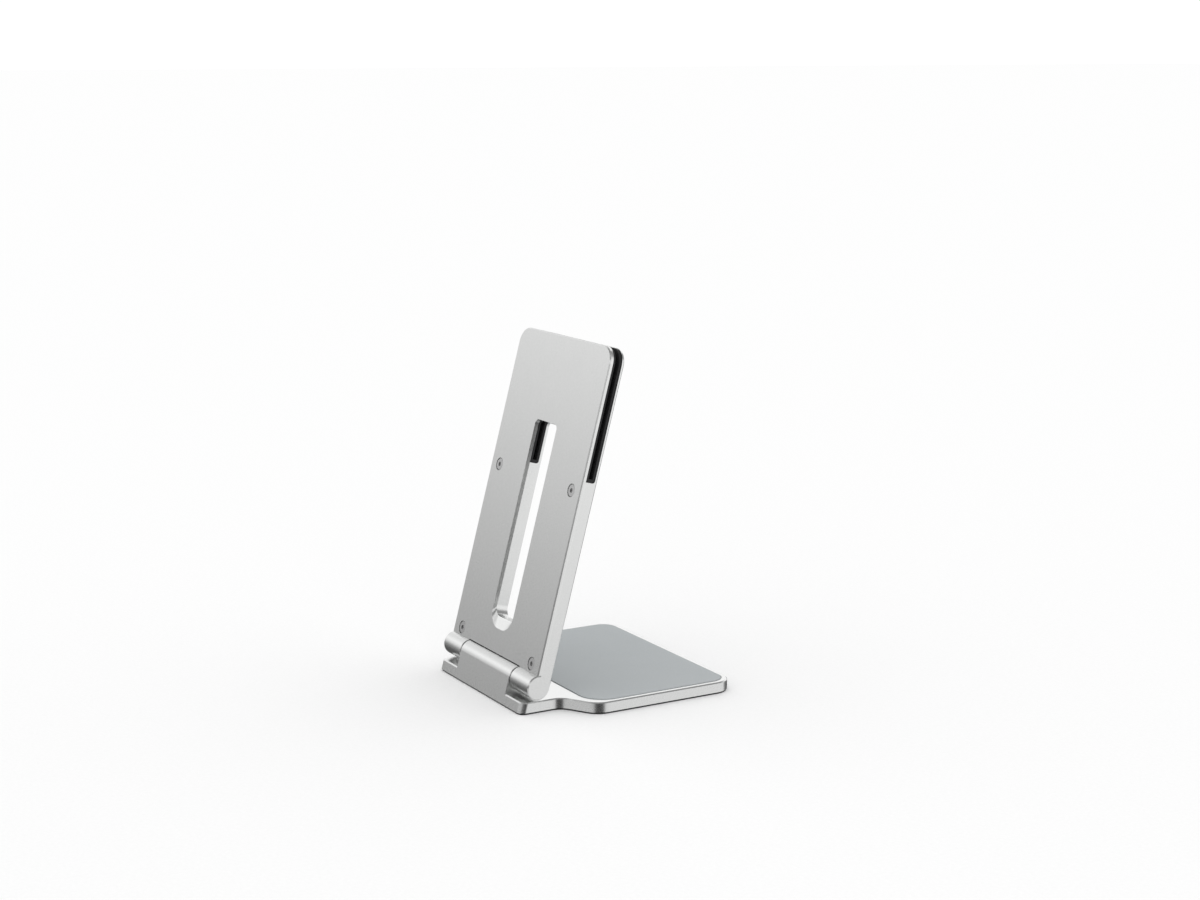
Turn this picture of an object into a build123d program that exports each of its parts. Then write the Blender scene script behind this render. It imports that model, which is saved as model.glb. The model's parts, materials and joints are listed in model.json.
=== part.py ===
"""Tablet stand: a weighted base, a friction hinge and an arm whose lined slot grips a kickstand.

Frame: +Z up, the floor at z = 0, the user in front at -Y. The origin is the centre of the
base's footprint. The arm stands at its rest lean, so its own sizes are laid out along the arm:
"along" is the distance up the arm from the hinge axis, and "depth" is the distance from the
hinge axis square to the arm, positive to the rear.
"""
import os
from math import cos, radians, sin

from build123d import *

# ---- driving dimensions, in millimetres and degrees ----
rest_lean = 15.0               # the arm's lean towards the user at rest, from vertical

base_width = 140.0
base_depth = 126.0             # front edge to the back face's lower edge
base_plate = 5.7               # thickness of the metal
bottom_pad_thickness = 1.0
bottom_pad_inset = 0.6
neck_width = 100.6
neck_length = 25.2             # back edge to where the flare starts
flare_length = 12.0            # how far forward the flare runs to reach the full width
front_corner_radius = 12.0
flare_outer_radius = 12.0
flare_inner_radius = 9.0
back_corner_radius = 4.0
base_chamfer = 0.6

hinge_height = 14.6
barrel_radius = 6.8
centre_knuckle_width = 60.0
knuckle_chamfer = 0.3          # on the rims that face each other across the knuckle gap
knuckle_gap = 0.8
barrel_clearance = 0.5         # between the centre knuckle and the arm's edges around it
plate_to_barrel_gap = 0.05     # between the rear plate's lower edge and the arm's own barrels
knuckle_bore_radius = 4.5
fit_gap = 0.02                 # radial gap of a fixed fit
running_gap = 0.04             # radial gap where the shaft turns

# hinge internals, measured along the hinge axis from the middle
shaft_radius = 3.0
shaft_inner_end = 10.0
shaft_outer_end = 49.0
shaft_chamfer = 0.4
bore_overrun = 0.2             # the blind bore is this much deeper than the shaft
nut_inner_end = 10.8
nut_thickness = 2.6
nut_radius = 4.1               # to the corners of the hexagon
dish_count = 3
dish_start = 13.45             # inner end of the first dished washer
dish_pitch = 0.72
dish_rise = 0.3
dish_thickness = 0.4
dish_inner_radius = 3.1
dish_outer_radius = 4.1
sleeve_inner_end = 16.0
sleeve_end_gap = 0.1           # the sleeve stops short of the knuckle's end by this
thrust_washer_thickness = 0.45
thrust_washer_inner_radius = 3.3
thrust_washer_outer_radius = 5.8

arm_width = 104.0
arm_length = 188.3             # hinge axis to the top edge
rear_plate = 2.1
rear_depth = 2.4               # the arm's rear face
arm_corner_radius = 9.0
arm_chamfer = 0.6
front_jaw = 1.5

clamp_floor = 114.4            # bottom of the clamp slot
clamp_corner = 1.6
liner_wall = 1.5
liner_floor = 2.0
liner_inset = 0.4              # from the arm's sides and top edge

cable_slot_width = 24.4        # in the frame
cable_slot_bottom = 26.2
cable_slot_top = 139.2
cable_slot_corner = 5.5
scoop_bottom = 20.0            # where the ramp meets the rear face
scoop_corner = 10.0
slot_top_corner = 3.0
slot_flare = 0.2               # the rear plate's slot edge leans by this, each way

arm_screw_x = 42.3
arm_screw_rows = (11.0, 107.9)
screw_head_radius = 3.4
screw_head = 1.1               # thickness of the flat head
screw_head_chamfer = 0.2
screw_head_gap = 0.35          # radial gap around the head in its counterbore
screw_head_sunk = 0.15         # below the rear face
screw_radius = 2.0
screw_length = 6.4
screw_hole_gap = 0.2           # radial gap around the shank in its clearance hole
screw_socket_radius = 1.45     # to the corners of the hexagon
screw_socket_depth = 0.9
screw_hole_depth = 5.0
pin_x = 42.3
pin_along = 60.0
pin_radius = 1.5
pin_length = 5.1
pin_hole_depth = 4.0           # in the frame
pin_plate_depth = 1.3          # in the rear plate
pin_end_gap = 0.1

set_screw_x = 42.3
set_screw_radius = 1.5
set_screw_sunk = 0.25
set_screw_socket_radius = 0.85
set_screw_socket_depth = 1.4

top_pad_thickness = 1.2
top_pad_sunk = 0.8
top_pad_margin = 2.9
top_pad_back = 35.0            # back edge of the base to the pad's back edge
top_pad_back_corner = 15.0
top_pad_front_corner = 9.3
top_pad_edge = 0.25            # rounding of the pad's upper edge
top_pad_gap = 0.5              # around the pad in its recess

weight_width = 112.0
weight_depth = 76.0
weight_thickness = 2.9
weight_centre_y = -20.0
weight_corner = 6.0
weight_gap = 0.2               # around the weight in its pocket
weight_above_pad = 0.1         # the weight's lower face lies this far above the bottom pad
weight_screw_inset = 10.0      # from the weight's edges
weight_screw_radius = 1.5
weight_screw_length = 4.1
weight_screw_head_radius = 2.85
weight_screw_head = 1.35       # height of the conical head
weight_screw_sunk = 0.1
weight_screw_hole_gap = 0.1
weight_screw_hole_depth = 1.5
weight_screw_socket_radius = 1.1
weight_screw_socket_depth = 1.0

# ---- derived places ----
lean_sin = sin(radians(rest_lean))
lean_cos = cos(radians(rest_lean))
plate_bottom = bottom_pad_thickness
plate_top = plate_bottom + base_plate
back_edge = base_depth / 2
hinge_y = back_edge - (barrel_radius + (hinge_height - plate_bottom) * lean_sin) / lean_cos
seam_depth = rear_depth - rear_plate
front_depth = -barrel_radius
notch_width = centre_knuckle_width + 2 * knuckle_gap
notch_top = barrel_radius + barrel_clearance
half_arm = arm_width / 2
half_knuckle = centre_knuckle_width / 2
pad_floor = plate_top - top_pad_sunk
beyond = 1.0                   # how far a cutting shape reaches past the surface that it starts from


def arm_point(x, depth, along):
    """The world place of a point given in the arm's own measures."""
    y = hinge_y + depth * lean_cos - along * lean_sin
    z = hinge_height + depth * lean_sin + along * lean_cos
    return Vector(x, y, z)


def arm_plane(depth, along=0.0):
    """A plane parallel to the arm's faces, looking to the rear, with its y up the arm."""
    return Plane(arm_point(0, depth, along), x_dir=(-1, 0, 0), z_dir=(0, lean_cos, lean_sin))


def side_plane(x):
    """A plane square to the hinge axis: its x is the arm's depth and its y runs up the arm."""
    return Plane(arm_point(x, 0, 0), x_dir=(0, lean_cos, lean_sin), z_dir=(1, 0, 0))


def depth_of(shape):
    """How far a shape's centre lies to the rear of the hinge axis, square to the arm."""
    centre = shape.center()
    return (centre.Y - hinge_y) * lean_cos + (centre.Z - hinge_height) * lean_sin


def along_of(shape):
    """How far up the arm a shape's centre lies."""
    centre = shape.center()
    return (centre.Z - hinge_height) * lean_cos - (centre.Y - hinge_y) * lean_sin


rearward = Axis((0, 0, 0), (0, lean_cos, lean_sin))
up_arm = Axis((0, 0, 0), (0, -lean_sin, lean_cos))
screw_points = [(x, along) for x in (-arm_screw_x, arm_screw_x) for along in arm_screw_rows]
pin_points = [(-pin_x, pin_along), (pin_x, pin_along)]
set_screw_points = [(-set_screw_x, 0), (set_screw_x, 0)]


def top_corners(piece):
    """The short edges at the two upper corners of a piece of the arm, square to its faces."""
    return [edge for edge in piece.edges().filter_by(rearward) if along_of(edge) > arm_length - 1]


def round_row(sketch, row, radius):
    """Round one row of a sketch's corners, counted from the lowest. Upper rows come first."""
    fillet(sketch.vertices().group_by(Axis.Y)[row], radius=radius)


def export(piece, name):
    """Label a finished piece and write its STEP file."""
    piece.part.label = name
    export_step(piece.part, f"parts/{name}.step")


os.makedirs("parts", exist_ok=True)

# ---- base: outline, plate, centre knuckle ----
half_neck = neck_width / 2
half_base = base_width / 2
flare_start = back_edge - neck_length
flare_end = flare_start - flare_length

with BuildSketch() as base_outline:
    with BuildLine():
        Polyline(
            (half_neck, back_edge),
            (half_neck, flare_start),
            (half_base, flare_end),
            (half_base, -back_edge),
            (-half_base, -back_edge),
            (-half_base, flare_end),
            (-half_neck, flare_start),
            (-half_neck, back_edge),
            close=True,
        )
    make_face()
    round_row(base_outline, 2, flare_inner_radius)
    round_row(base_outline, 1, flare_outer_radius)
    round_row(base_outline, 0, front_corner_radius)

pad_back_y = back_edge - top_pad_back
pad_front_y = -back_edge + top_pad_margin
with BuildSketch() as top_pad_outline:
    with Locations((0, (pad_back_y + pad_front_y) / 2)):
        Rectangle(base_width - 2 * top_pad_margin, pad_back_y - pad_front_y)
    round_row(top_pad_outline, 1, top_pad_back_corner)
    round_row(top_pad_outline, 0, top_pad_front_corner)

weight_screw_x = weight_width / 2 - weight_screw_inset
weight_screw_y = weight_depth / 2 - weight_screw_inset
weight_screw_places = [
    (x, weight_centre_y + y)
    for x in (-weight_screw_x, 0, weight_screw_x)
    for y in (-weight_screw_y, weight_screw_y)
]
weight_bottom = plate_bottom + weight_above_pad
weight_top = weight_bottom + weight_thickness

back_tangent = arm_point(0, barrel_radius, 0)
knuckle_front_y = hinge_y - barrel_radius

with BuildPart() as base_body:
    with BuildSketch(Plane.XY.offset(plate_bottom)):
        add(base_outline.sketch)
    extrude(amount=base_plate)
    split(bisect_by=arm_plane(barrel_radius), keep=Keep.BOTTOM)
    slanted = base_body.edges().filter_by(up_arm)
    fillet(slanted, radius=back_corner_radius)
    top_face = base_body.faces().sort_by(Axis.Z)[-1]
    chamfer(top_face.outer_wire().edges(), length=base_chamfer)
    # the centre knuckle and its wall rise from the back face in one piece with the plate
    with BuildSketch(Plane.YZ.offset(-half_knuckle)):
        with Locations((hinge_y, hinge_height)):
            Circle(barrel_radius)
        with BuildLine():
            Polyline(
                (back_tangent.Y, back_tangent.Z),
                (back_edge, plate_bottom),
                (knuckle_front_y, plate_bottom),
                (knuckle_front_y, hinge_height),
                (hinge_y, hinge_height),
                close=True,
            )
        make_face()
    extrude(amount=centre_knuckle_width)
    # rims of the barrel's two ends
    rims = [
        edge
        for edge in base_body.edges().filter_by(GeomType.CIRCLE)
        if abs(edge.center().X) > half_knuckle - 0.01 and edge.center().Z > hinge_height
    ]
    chamfer(rims, length=knuckle_chamfer)
    with BuildSketch(Plane.YZ.offset(-half_knuckle)):
        with Locations((hinge_y, hinge_height)):
            Circle(knuckle_bore_radius)
    extrude(amount=centre_knuckle_width, mode=Mode.SUBTRACT)
    # recess for the grey pad
    with BuildSketch(Plane.XY.offset(pad_floor)):
        add(top_pad_outline.sketch)
    extrude(amount=top_pad_sunk, mode=Mode.SUBTRACT)
    # pocket and tapped holes for the steel weight
    with BuildSketch(Plane.XY.offset(plate_bottom)):
        with Locations((0, weight_centre_y)):
            RectangleRounded(
                weight_width + 2 * weight_gap, weight_depth + 2 * weight_gap, weight_corner + weight_gap
            )
    extrude(amount=weight_top - plate_bottom, mode=Mode.SUBTRACT)
    with BuildSketch(Plane.XY.offset(weight_top)):
        with Locations(*weight_screw_places):
            Circle(weight_screw_radius + fit_gap)
    extrude(amount=weight_screw_hole_depth, mode=Mode.SUBTRACT)
export(base_body, "base_body")

with BuildPart() as base_top_pad:
    with BuildSketch(Plane.XY.offset(pad_floor)):
        add(top_pad_outline.sketch)
        offset(amount=-top_pad_gap, mode=Mode.REPLACE)
    extrude(amount=top_pad_thickness)
    fillet(base_top_pad.faces().sort_by(Axis.Z)[-1].edges(), radius=top_pad_edge)
export(base_top_pad, "base_top_pad")

with BuildPart() as base_bottom_pad:
    with BuildSketch() as bottom_pad_outline:
        add(base_outline.sketch)
        offset(amount=-bottom_pad_inset, kind=Kind.INTERSECTION, mode=Mode.REPLACE)
        round_row(bottom_pad_outline, -1, back_corner_radius - bottom_pad_inset)
    extrude(amount=bottom_pad_thickness)
export(base_bottom_pad, "base_bottom_pad")

standing = (Align.CENTER, Align.CENTER, Align.MIN)
with BuildPart() as base_weight:
    with BuildSketch(Plane.XY.offset(weight_bottom)):
        with Locations((0, weight_centre_y)):
            RectangleRounded(weight_width, weight_depth, weight_corner)
    extrude(amount=weight_thickness)
    # clearance holes with conical seats, open to below
    seat_radius = weight_screw_head_radius + weight_screw_hole_gap
    hole_radius = weight_screw_radius + weight_screw_hole_gap
    with Locations(*[(x, y, weight_bottom) for x, y in weight_screw_places]):
        Cone(seat_radius, hole_radius, weight_screw_head, align=standing, mode=Mode.SUBTRACT)
        Cylinder(hole_radius, weight_thickness, align=standing, mode=Mode.SUBTRACT)
export(base_weight, "base_weight")

weight_screw_bottom = weight_bottom + weight_screw_sunk
with BuildPart() as weight_screws:
    with Locations(*[(x, y, weight_screw_bottom) for x, y in weight_screw_places]):
        Cone(weight_screw_head_radius, weight_screw_radius, weight_screw_head, align=standing)
        Cylinder(weight_screw_radius, weight_screw_length, align=standing)
    with BuildSketch(Plane.XY.offset(weight_screw_bottom)):
        with Locations(*weight_screw_places):
            RegularPolygon(weight_screw_socket_radius, 6)
    extrude(amount=weight_screw_socket_depth, mode=Mode.SUBTRACT)
export(weight_screws, "weight_screws")

# ---- arm: front frame with jaw and knuckles ----
with BuildPart() as arm_frame:
    with BuildSketch(side_plane(-half_arm)):
        Circle(barrel_radius)
        with BuildLine():
            Polyline(
                (front_depth, 0),
                (front_depth, arm_length),
                (front_depth + front_jaw, arm_length),
                (front_depth + front_jaw, clamp_floor),
                (seam_depth, clamp_floor),
                (seam_depth, 0),
                close=True,
            )
        make_face()
    extrude(amount=arm_width)
    pocket_corner = arm_frame.edges().filter_by(Axis.X).sort_by_distance(
        arm_point(0, front_depth + front_jaw, clamp_floor)
    )[0]
    fillet(pocket_corner, radius=clamp_corner)
    fillet(top_corners(arm_frame), radius=arm_corner_radius)
    # the outer edges of the front face and of the knuckle ends, down to the seam
    outer_edges = [
        edge
        for edge in arm_frame.edges()
        if depth_of(edge) < front_depth + 0.01 and along_of(edge) > 0.1
    ]
    chamfer(outer_edges, length=arm_chamfer)
    # notch for the base's centre knuckle
    with BuildSketch(side_plane(-notch_width / 2)):
        Rectangle(2 * (barrel_radius + beyond), 2 * notch_top)
    extrude(amount=notch_width, mode=Mode.SUBTRACT)
    inner_rims = [
        edge
        for edge in arm_frame.edges().filter_by(GeomType.CIRCLE)
        if abs(abs(edge.center().X) - notch_width / 2) < 0.01
    ]
    chamfer(inner_rims, length=knuckle_chamfer)
    # blind bores for the shafts, from the notch outwards
    bore_end = shaft_outer_end + bore_overrun
    for x in (-bore_end, 0):
        with BuildSketch(side_plane(x)):
            Circle(shaft_radius + fit_gap)
        extrude(amount=bore_end, mode=Mode.SUBTRACT)
    # the long cable slot
    with BuildSketch(arm_plane(seam_depth)) as frame_slot:
        with Locations((0, (cable_slot_bottom + cable_slot_top) / 2)):
            Rectangle(cable_slot_width, cable_slot_top - cable_slot_bottom)
        round_row(frame_slot, 1, slot_top_corner)
        round_row(frame_slot, 0, cable_slot_corner)
    extrude(amount=-2 * barrel_radius, mode=Mode.SUBTRACT)
    # tapped holes and dowel holes in the mating face
    with BuildSketch(arm_plane(seam_depth)):
        with Locations(*screw_points):
            Circle(screw_radius + fit_gap)
    extrude(amount=-screw_hole_depth, mode=Mode.SUBTRACT)
    with BuildSketch(arm_plane(seam_depth)):
        with Locations(*pin_points):
            Circle(pin_radius + fit_gap)
    extrude(amount=-pin_hole_depth, mode=Mode.SUBTRACT)
    # tapped holes for the set screws, from the front into the bores
    with BuildSketch(arm_plane(front_depth - beyond)):
        with Locations(*set_screw_points):
            Circle(set_screw_radius + fit_gap)
    extrude(amount=beyond + barrel_radius - shaft_radius / 2, mode=Mode.SUBTRACT)
export(arm_frame, "arm_frame")


# ---- arm: rear plate with jaw, screw holes and the scooped slot ----
def slot_edge(depth, half_width, bottom, top, corner):
    """The cable slot's outline in the rear plate at one depth."""
    with BuildSketch(arm_plane(depth)) as outline:
        with Locations((0, (bottom + top) / 2)):
            Rectangle(2 * half_width, top - bottom)
        round_row(outline, 1, slot_top_corner)
        round_row(outline, 0, corner)
    return outline.sketch.face()


half_slot = cable_slot_width / 2
rear_edge = slot_edge(
    rear_depth, half_slot + slot_flare, scoop_bottom, cable_slot_top + slot_flare, scoop_corner
)
seam_edge = slot_edge(
    seam_depth, half_slot - slot_flare, cable_slot_bottom, cable_slot_top - slot_flare, cable_slot_corner
)
with BuildPart() as scooped_slot:
    loft(sections=[rear_edge, seam_edge], ruled=True)

with BuildPart() as arm_rear_plate:
    with BuildSketch(arm_plane(seam_depth)):
        with Locations((0, arm_length / 2)):
            Rectangle(arm_width, arm_length)
    extrude(amount=rear_plate)
    fillet(top_corners(arm_rear_plate), radius=arm_corner_radius)
    rear_face = arm_rear_plate.faces().sort_by(rearward)[-1]
    rear_edges = [edge for edge in rear_face.edges() if along_of(edge) > 1]
    chamfer(rear_edges, length=arm_chamfer)
    # the lower edge follows the barrels, with more room around the centre knuckle
    with BuildSketch(side_plane(-half_arm)):
        Circle(barrel_radius + plate_to_barrel_gap)
        with Locations((0, -barrel_radius)):
            Rectangle(4 * barrel_radius, 2 * barrel_radius)
    extrude(amount=arm_width, mode=Mode.SUBTRACT)
    with BuildSketch(side_plane(-notch_width / 2)):
        Circle(barrel_radius + barrel_clearance)
    extrude(amount=notch_width, mode=Mode.SUBTRACT)
    add(scooped_slot.part, mode=Mode.SUBTRACT)
    with Locations(arm_plane(rear_depth)):
        with Locations(*screw_points):
            CounterBoreHole(
                radius=screw_radius + screw_hole_gap,
                counter_bore_radius=screw_head_radius + screw_head_gap,
                counter_bore_depth=screw_head_sunk + screw_head,
            )
    with BuildSketch(arm_plane(seam_depth)):
        with Locations(*pin_points):
            Circle(pin_radius + fit_gap)
    extrude(amount=pin_plate_depth, mode=Mode.SUBTRACT)
export(arm_rear_plate, "arm_rear_plate")

hanging = (Align.CENTER, Align.CENTER, Align.MAX)
screw_face = rear_depth - screw_head_sunk
with BuildPart() as arm_screws:
    with Locations(arm_plane(screw_face)):
        with Locations(*screw_points):
            Cylinder(screw_head_radius, screw_head, align=hanging)
            Cylinder(screw_radius, screw_length, align=hanging)
    head_edges = [
        edge
        for edge in arm_screws.edges().filter_by(GeomType.CIRCLE)
        if depth_of(edge) > screw_face - 0.01
    ]
    chamfer(head_edges, length=screw_head_chamfer)
    with BuildSketch(arm_plane(screw_face)):
        with Locations(*screw_points):
            RegularPolygon(screw_socket_radius, 6)
    extrude(amount=-screw_socket_depth, mode=Mode.SUBTRACT)
export(arm_screws, "arm_screws")

with BuildPart() as alignment_pins:
    with BuildSketch(arm_plane(seam_depth - pin_hole_depth + pin_end_gap)):
        with Locations(*pin_points):
            Circle(pin_radius)
    extrude(amount=pin_length)
export(alignment_pins, "alignment_pins")

# ---- clamp liner: a silicone pad on each jaw and a strip across the floor of the clamp ----
liner_front = front_depth + front_jaw
liner_top = arm_length - liner_inset
pads_bottom = clamp_floor + liner_floor
liner_width = arm_width - 2 * liner_inset

with BuildSketch(arm_plane(liner_front)) as slot_passage:
    with Locations((0, cable_slot_top / 2)):
        Rectangle(cable_slot_width, cable_slot_top)
    round_row(slot_passage, 1, slot_top_corner)


def jaw_pad(depth):
    """The flat pad on a jaw, from this depth rearwards, cut out where the cable slot passes."""
    with BuildPart() as pad:
        with BuildSketch(arm_plane(depth)):
            with Locations((0, (pads_bottom + liner_top) / 2)):
                Rectangle(liner_width, liner_top - pads_bottom)
        extrude(amount=liner_wall)
        fillet(top_corners(pad), radius=arm_corner_radius)
        extrude(slot_passage.sketch, amount=2 * barrel_radius, mode=Mode.SUBTRACT)
    return pad


export(jaw_pad(liner_front), "clamp_liner_front")
export(jaw_pad(seam_depth - liner_wall), "clamp_liner_rear")

with BuildPart() as clamp_liner_floor:
    with BuildSketch(side_plane(-liner_width / 2)) as strip:
        with BuildLine():
            Polyline(
                (liner_front, clamp_floor),
                (liner_front, pads_bottom),
                (seam_depth, pads_bottom),
                (seam_depth, clamp_floor),
                close=True,
            )
        make_face()
        round_row(strip, 0, clamp_corner)
    extrude(amount=liner_width)
    extrude(slot_passage.sketch, amount=2 * barrel_radius, mode=Mode.SUBTRACT)
export(clamp_liner_floor, "clamp_liner_floor")


# ---- hinge internals, the same on each side ----
def place(x, length, right):
    """The side plane from which a piece of this length spans x to x + length, mirrored if left."""
    return side_plane(x) if right else side_plane(-x - length)


def ring(x, length, outer, inner, right):
    """A plain ring around the hinge axis."""
    with BuildPart() as piece:
        with BuildSketch(place(x, length, right)):
            Circle(outer)
            Circle(inner, mode=Mode.SUBTRACT)
        extrude(amount=length)
    return piece


def spring_washers(right):
    """The dished washers in line, each a thin cone, turned about the hinge axis."""
    sign = 1 if right else -1
    section = Plane(arm_point(0, 0, 0), x_dir=(sign, 0, 0), z_dir=(0, 0, sign))
    with BuildPart() as stack:
        for count in range(dish_count):
            start = dish_start + count * dish_pitch
            with BuildSketch(section):
                with BuildLine():
                    Polyline(
                        (start, dish_inner_radius),
                        (start + dish_thickness, dish_inner_radius),
                        (start + dish_thickness + dish_rise, dish_outer_radius),
                        (start + dish_rise, dish_outer_radius),
                        close=True,
                    )
                make_face()
            revolve(axis=Axis((0, hinge_y, hinge_height), (1, 0, 0)))
    return stack


shaft_length = shaft_outer_end - shaft_inner_end
sleeve_length = half_knuckle - sleeve_end_gap - sleeve_inner_end
sleeve_outer_radius = knuckle_bore_radius - fit_gap
sleeve_inner_radius = shaft_radius + running_gap
for side, right in (("right", True), ("left", False)):
    with BuildPart() as hinge_shaft:
        with BuildSketch(place(shaft_inner_end, shaft_length, right)):
            Circle(shaft_radius)
        extrude(amount=shaft_length)
        chamfer(hinge_shaft.edges().filter_by(GeomType.CIRCLE), length=shaft_chamfer)
    export(hinge_shaft, f"hinge_shaft_{side}")

    sleeve = ring(sleeve_inner_end, sleeve_length, sleeve_outer_radius, sleeve_inner_radius, right)
    export(sleeve, f"friction_sleeve_{side}")

    washer = ring(
        half_knuckle,
        thrust_washer_thickness,
        thrust_washer_outer_radius,
        thrust_washer_inner_radius,
        right,
    )
    export(washer, f"thrust_washer_{side}")

    with BuildPart() as tension_nut:
        with BuildSketch(place(nut_inner_end, nut_thickness, right)):
            RegularPolygon(nut_radius, 6)
            Circle(shaft_radius + fit_gap, mode=Mode.SUBTRACT)
        extrude(amount=nut_thickness)
    export(tension_nut, f"tension_nut_{side}")

    export(spring_washers(right), f"spring_washers_{side}")

set_screw_face = front_depth + set_screw_sunk
with BuildPart() as shaft_set_screws:
    with BuildSketch(arm_plane(set_screw_face)):
        with Locations(*set_screw_points):
            Circle(set_screw_radius)
    extrude(amount=-set_screw_face - shaft_radius - fit_gap)
    with BuildSketch(arm_plane(set_screw_face)):
        with Locations(*set_screw_points):
            RegularPolygon(set_screw_socket_radius, 6)
    extrude(amount=set_screw_socket_depth, mode=Mode.SUBTRACT)
export(shaft_set_screws, "shaft_set_screws")
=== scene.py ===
"""Looks for the tablet stand: materials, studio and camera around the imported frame.

Units are metres. The base's footprint is centred on the origin, the floor is z = 0, the user
sits at -Y, and the arm turns about an axis along X at the back of the base.
"""
import json
from math import cos, radians, sin

import bpy
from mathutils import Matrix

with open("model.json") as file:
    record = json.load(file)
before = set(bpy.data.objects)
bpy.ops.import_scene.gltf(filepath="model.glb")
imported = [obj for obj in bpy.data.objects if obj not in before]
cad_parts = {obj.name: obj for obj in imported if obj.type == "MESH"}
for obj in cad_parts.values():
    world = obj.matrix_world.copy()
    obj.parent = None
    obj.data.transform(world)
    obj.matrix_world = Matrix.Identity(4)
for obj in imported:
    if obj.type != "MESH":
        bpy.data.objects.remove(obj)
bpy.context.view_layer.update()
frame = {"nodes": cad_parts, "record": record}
nodes = frame["nodes"]
record = frame["record"]
mm = 0.001

# a Mix node has a socket of each name for every data type, so its colour sockets go by number
COLOR_INPUTS = (6, 7)
COLOR_RESULT = 2


def base_color(slot):
    """The record's colour of a material slot, with alpha."""
    entry = next(m for m in record["materials"] if m["slot"] == slot)
    return (*entry["base_color"], 1.0)


# ---- shader building blocks ----
class Shader:
    """A node material with its Principled shader and short calls for the nodes used here."""

    def __init__(self, name, metallic=0.0, specular=0.5):
        self.material = bpy.data.materials.new(name)
        self.material.use_nodes = True
        self.tree = self.material.node_tree
        self.principled = self.tree.nodes["Principled BSDF"]
        self.principled.inputs["Metallic"].default_value = metallic
        self.principled.inputs["Specular IOR Level"].default_value = specular
        self.place = self.tree.nodes.new("ShaderNodeTexCoord").outputs["Object"]

    def node(self, kind, **settings):
        """Add a node of this kind and set its attributes."""
        made = self.tree.nodes.new(kind)
        for name, value in settings.items():
            setattr(made, name, value)
        return made

    def link(self, source, target):
        """Join an output socket to an input socket."""
        self.tree.links.new(source, target)

    def noise(self, size, detail=2.0, roughness=0.5, stretch=(1, 1, 1)):
        """Noise whose features are about this size in metres, longer where stretch is more."""
        mapping = self.node("ShaderNodeMapping")
        mapping.inputs["Scale"].default_value = [1 / (size * s) for s in stretch]
        self.link(self.place, mapping.inputs["Vector"])
        noise = self.node("ShaderNodeTexNoise")
        noise.inputs["Scale"].default_value = 1.0
        noise.inputs["Detail"].default_value = detail
        noise.inputs["Roughness"].default_value = roughness
        self.link(mapping.outputs["Vector"], noise.inputs["Vector"])
        return noise.outputs["Fac"]

    def spread(self, value, low=0.0, high=1.0, start=0.3, end=0.7):
        """Map a value from start..end to low..high. Most of a noise lies in 0.3..0.7."""
        ranged = self.node("ShaderNodeMapRange")
        ranged.inputs["From Min"].default_value = start
        ranged.inputs["From Max"].default_value = end
        ranged.inputs["To Min"].default_value = low
        ranged.inputs["To Max"].default_value = high
        self.link(value, ranged.inputs["Value"])
        return ranged.outputs["Result"]

    def math(self, operation, first, second):
        """The sum, difference or product of two values, each a socket or a number."""
        step = self.node("ShaderNodeMath", operation=operation)
        for socket, value in zip(step.inputs, (first, second)):
            if isinstance(value, (int, float)):
                socket.default_value = value
            else:
                self.link(value, socket)
        return step.outputs["Value"]

    def blend(self, factor, first, second):
        """Mix two colours, each a socket or a tuple, by a factor socket."""
        mix = self.node("ShaderNodeMix", data_type="RGBA")
        self.link(factor, mix.inputs["Factor"])
        for index, value in zip(COLOR_INPUTS, (first, second)):
            if isinstance(value, tuple):
                mix.inputs[index].default_value = value
            else:
                self.link(value, mix.inputs[index])
        return mix.outputs[COLOR_RESULT]

    def edges(self, radius):
        """1 along convex and concave edges within this radius, 0 on flat faces."""
        full_edge = 0.65               # the cosine at which an edge counts in full
        bevel = self.node("ShaderNodeBevel", samples=6)
        bevel.inputs["Radius"].default_value = radius
        flat = self.node("ShaderNodeNewGeometry")
        dot = self.node("ShaderNodeVectorMath", operation="DOT_PRODUCT")
        self.link(bevel.outputs["Normal"], dot.inputs[0])
        self.link(flat.outputs["Normal"], dot.inputs[1])
        return self.spread(dot.outputs["Value"], low=1.0, high=0.0, start=full_edge, end=1.0)

    def bump(self, height, depth, strength):
        """Surface relief of this depth in metres."""
        bump = self.node("ShaderNodeBump")
        bump.inputs["Strength"].default_value = strength
        bump.inputs["Distance"].default_value = depth
        self.link(height, bump.inputs["Height"])
        return bump.outputs["Normal"]

    def set(self, **sockets):
        """Wire or set the Principled shader's sockets by name, with _ for spaces."""
        for name, value in sockets.items():
            socket = self.principled.inputs[name.replace("_", " ")]
            if isinstance(value, (int, float, tuple)):
                socket.default_value = value
            else:
                self.link(value, socket)
        return self.material


def tinted(color, factor):
    """A colour made lighter or darker."""
    return (*(min(1.0, channel * factor) for channel in color[:3]), 1.0)


# ---- the object's materials ----
def anodised_aluminium():
    """Bead-blasted, clear-anodised aluminium: fine grain, faint clouding, and a painted
    highlight along its edges.
    """
    look = Shader("anodised_aluminium", metallic=1.0)
    metal = base_color("anodised_aluminium")
    grain = look.noise(0.22 * mm, detail=3.0, roughness=0.6)
    clouds = look.noise(16 * mm, detail=3.0, roughness=0.55)
    fine = look.spread(grain)
    cloud = look.spread(clouds)
    grained = look.blend(fine, tinted(metal, 0.955), tinted(metal, 1.03))
    clouded = look.blend(look.math("MULTIPLY", cloud, 0.25), grained, tinted(metal, 0.97))
    # painted highlight: along convex and concave edges the colour is lightened towards 1.18
    # times the metal's; the same edge mask also lowers the roughness
    edge = look.edges(0.35 * mm)
    color = look.blend(look.math("MULTIPLY", edge, 0.6), clouded, tinted(metal, 1.18))
    rough = look.math("ADD", look.spread(clouds, 0.265, 0.285), look.spread(grain, -0.03, 0.03))
    roughness = look.math("SUBTRACT", rough, look.math("MULTIPLY", edge, 0.10))
    relief = look.bump(grain, 0.006 * mm, strength=0.6)
    return look.set(Base_Color=color, Roughness=roughness, Normal=relief)


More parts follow.
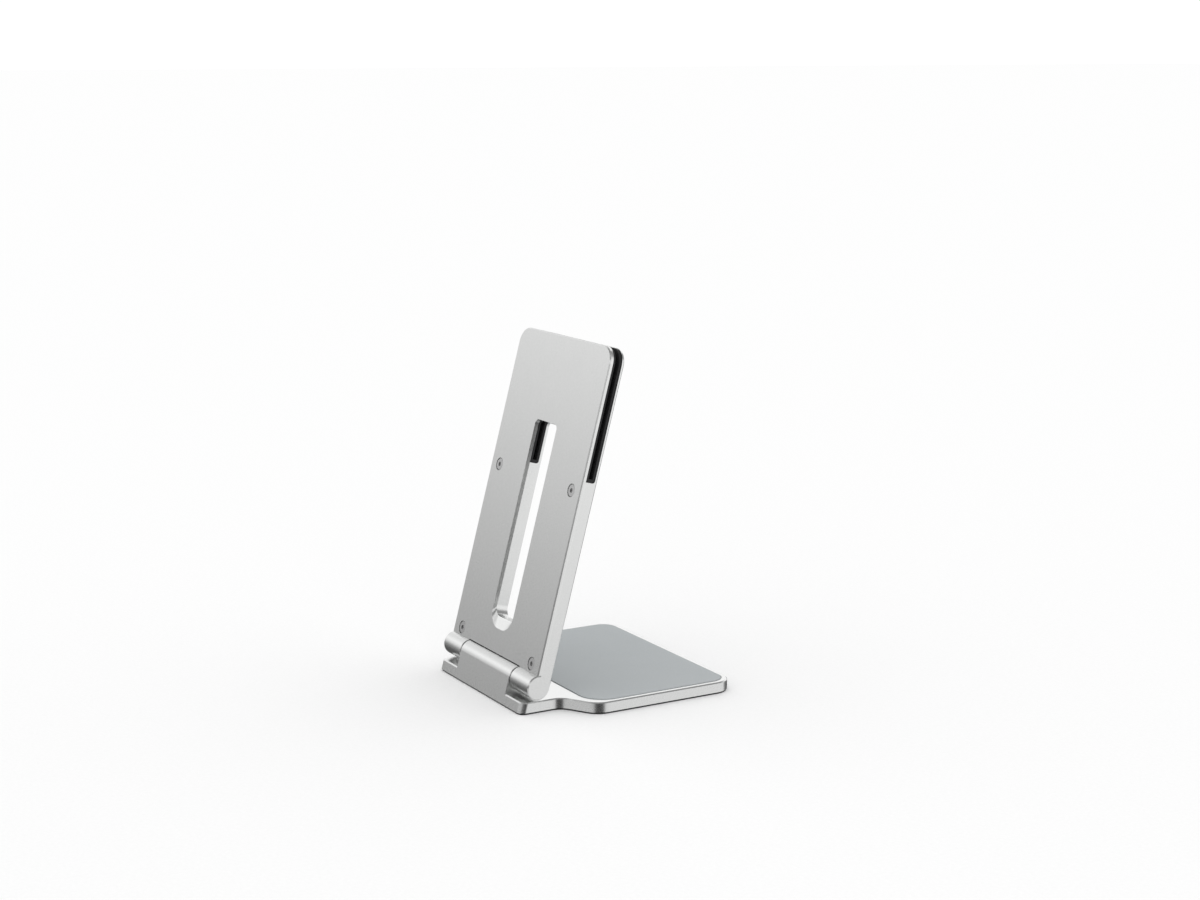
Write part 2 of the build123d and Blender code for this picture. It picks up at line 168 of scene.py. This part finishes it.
def silicone(slot, pebble, contrast, roughness):
    """Moulded silicone: a matte skin with a fine pebbled grain and a trace of dust."""
    look = Shader(slot, specular=0.22)
    tone = base_color(slot)
    grain = look.noise(pebble, detail=2.0, roughness=0.55)
    dust = look.noise(0.35 * mm, detail=4.0, roughness=0.7)
    clouds = look.noise(20 * mm, detail=2.0)
    dark, light = tinted(tone, 1 - contrast), tinted(tone, 1 + contrast)
    pebbled = look.blend(look.spread(grain), dark, light)
    dust_grey = (0.5, 0.5, 0.5, 1.0)
    dusty = look.blend(look.spread(dust, high=0.07, start=0.62, end=0.75), pebbled, dust_grey)
    relief = look.bump(grain, 0.03 * mm, strength=0.5)
    return look.set(
        Base_Color=dusty,
        Roughness=look.spread(clouds, roughness - 0.05, roughness + 0.05),
        Normal=relief,
    )


def turned_metal(slot, roughness, lines):
    """Machined metal with fine turning lines across the hinge axis and a painted highlight along
    its edges.
    """
    look = Shader(slot, metallic=1.0)
    metal = base_color(slot)
    turning = look.noise(lines, detail=3.0, roughness=0.6, stretch=(0.25, 4, 4))
    stain = look.noise(4 * mm, detail=2.0)
    toned = look.blend(look.spread(turning), tinted(metal, 0.88), tinted(metal, 1.08))
    # painted highlight: along convex and concave edges within 0.15 mm the colour is lightened
    # towards 1.3 times the metal's
    edge = look.edges(0.15 * mm)
    color = look.blend(look.math("MULTIPLY", edge, 0.5), toned, tinted(metal, 1.3))
    stained = look.spread(stain, roughness - 0.04, roughness + 0.04)
    rough = look.math("ADD", stained, look.spread(turning, -0.04, 0.04))
    relief = look.bump(turning, 0.004 * mm, strength=0.5)
    return look.set(Base_Color=color, Roughness=rough, Normal=relief)


def acetal():
    """Smooth black washer plastic with faint moulding haze."""
    look = Shader("black_acetal", specular=0.5)
    tone = base_color("black_acetal")
    haze = look.noise(1.2 * mm, detail=3.0)
    color = look.blend(look.spread(haze), tinted(tone, 0.8), tinted(tone, 1.3))
    relief = look.bump(haze, 0.005 * mm, strength=0.4)
    return look.set(Base_Color=color, Roughness=look.spread(haze, 0.36, 0.46), Normal=relief)


looks = {
    "anodised_aluminium": anodised_aluminium(),
    "grey_silicone": silicone("grey_silicone", pebble=0.45 * mm, contrast=0.06, roughness=0.72),
    "black_silicone": silicone("black_silicone", pebble=0.4 * mm, contrast=0.15, roughness=0.6),
    "plain_steel": turned_metal("plain_steel", roughness=0.3, lines=0.3 * mm),
    "screw_steel": turned_metal("screw_steel", roughness=0.35, lines=0.2 * mm),
    "sleeve_bronze": turned_metal("sleeve_bronze", roughness=0.32, lines=0.25 * mm),
    "black_acetal": acetal(),
}
for part in record["subparts"]:
    piece = nodes[part["node"]]
    piece.data.materials.clear()
    piece.data.materials.append(looks[part["material_slot"]])


# ---- studio ----
def plain_floor():
    """A wide pale floor, not part of the object."""
    reach = 30.0
    mesh = bpy.data.meshes.new("floor")
    corners = [(-reach, -reach, 0), (reach, -reach, 0), (reach, reach, 0), (-reach, reach, 0)]
    mesh.from_pydata(corners, [], [(0, 1, 2, 3)])
    floor = bpy.data.objects.new("floor", mesh)
    bpy.context.scene.collection.objects.link(floor)
    look = Shader("floor_paper", specular=0.0)
    tooth = look.noise(2 * mm, detail=2.0)
    paper = look.blend(look.spread(tooth), (0.94, 0.94, 0.94, 1), (0.96, 0.96, 0.96, 1))
    mesh.materials.append(look.set(Base_Color=paper, Roughness=0.6))
    floor.visible_glossy = False


def world_light(level):
    """An even white light from all round, which reflections don't see."""
    world = bpy.data.worlds.new("studio")
    world.use_nodes = True
    backing = world.node_tree.nodes["Background"]
    backing.inputs["Color"].default_value = (1.0, 1.0, 1.0, 1)
    backing.inputs["Strength"].default_value = level
    bpy.context.scene.world = world
    world.cycles_visibility.glossy = False


def rise(value, start, end):
    """0 before start, 1 after end, and a smooth rise between."""
    t = min(1.0, max(0.0, (value - start) / (end - start)))
    return t * t * (3 - 2 * t)


def tent_level(azimuth, elevation):
    """How bright the light tent is towards a direction in degrees.

    Azimuth 0 is +X and 90 is +Y. The front zone's level holds wherever no other zone does. All
    zones give way to one level overhead and another underneath.
    """
    # each zone's level: the one below, then changes between two elevations on the way up
    front = 0.72 + 0.38 * rise(elevation, -26, -7) - 0.82 * rise(elevation, 24, 38)
    front_right = 0.12 + 1.08 * rise(elevation, -6, 10)
    back_right = 0.10 + 0.23 * rise(elevation, -25, -1) + 0.72 * rise(elevation, -6, 13)
    back_right += 0.25 * rise(elevation, 14, 20) - 0.50 * rise(elevation, 22, 34)
    back = 0.66 - 0.28 * rise(elevation, -12, 0) + 0.75 * rise(elevation, 4, 18)
    back_left = 0.05 - 0.03 * rise(elevation, -12, 0) + 1.05 * rise(elevation, 7, 16)
    back_left -= 0.85 * rise(elevation, 26, 38)
    back_end = 134 - 22 * rise(elevation, -10, -2)
    front_end = -97 + 19 * rise(elevation, -10, 0)
    zones = (
        (front_end, front_right, -12),
        (-12, back_right, 68),
        (68, back, back_end),
        (back_end, back_left, 187),
    )
    count_from = -120              # an azimuth in the front zone, clear of the others' ends
    softness = 7                   # half the width of the blend from zone to zone
    overhead, underneath = 0.30, 0.75
    turn = (azimuth - count_from) % 360 + count_from
    level = front
    for start, zone, end in zones:
        entered = rise(turn, start - softness, start + softness)
        left = rise(turn, end - softness, end + softness)
        level += (zone - front) * (entered * (1 - left))
    level += (overhead - level) * rise(elevation, 46, 62)
    return level + (underneath - level) * rise(-elevation, 36, 56)


def light_tent():
    """A sphere around the set, its brightness graded by direction, that only reflections see."""
    radius, columns, rows = 6.0, 144, 72
    points, faces, levels = [], [], []
    for row in range(rows + 1):
        elevation = -90 + 180 * row / rows
        away, height = radius * cos(radians(elevation)), radius * sin(radians(elevation))
        for column in range(columns):
            azimuth = 360 * column / columns
            points.append((away * cos(radians(azimuth)), away * sin(radians(azimuth)), height))
            levels.append(tent_level(azimuth, elevation))
    for row in range(rows):
        for column in range(columns):
            after = (column + 1) % columns
            low, high = row * columns, (row + 1) * columns
            faces.append((low + column, low + after, high + after, high + column))
    mesh = bpy.data.meshes.new("light_tent")
    mesh.from_pydata(points, [], faces)
    mesh.attributes.new("level", "FLOAT", "POINT").data.foreach_set("value", levels)
    tent = bpy.data.objects.new("light_tent", mesh)
    bpy.context.scene.collection.objects.link(tent)
    look = Shader("tent_cloth", specular=0.0)
    level = look.node("ShaderNodeAttribute", attribute_name="level").outputs["Fac"]
    look.set(Base_Color=(0, 0, 0, 1), Emission_Color=(1, 1, 1, 1), Emission_Strength=level)
    look.material.cycles.emission_sampling = "NONE"
    mesh.materials.append(look.material)
    tent.visible_camera = False
    tent.visible_diffuse = False
    tent.visible_shadow = False


plain_floor()
world_light(level=1.04)
light_tent()

# ---- camera ----
eye = (-1.0158, 0.5675, 0.3560)
heading = radians(-119.86)
downward = radians(10.895)
camera_data = bpy.data.cameras.new("camera")
camera_data.sensor_width = 36.0    # this and the lens are in millimetres, unlike the rest
camera_data.lens = 63.13
camera_data.clip_end = 100.0
camera = bpy.data.objects.new("camera", camera_data)
camera.location = eye
camera.rotation_euler = (radians(90) - downward, 0, heading)
bpy.context.scene.collection.objects.link(camera)
bpy.context.scene.camera = camera
bpy.context.scene.view_settings.view_transform = "Standard"
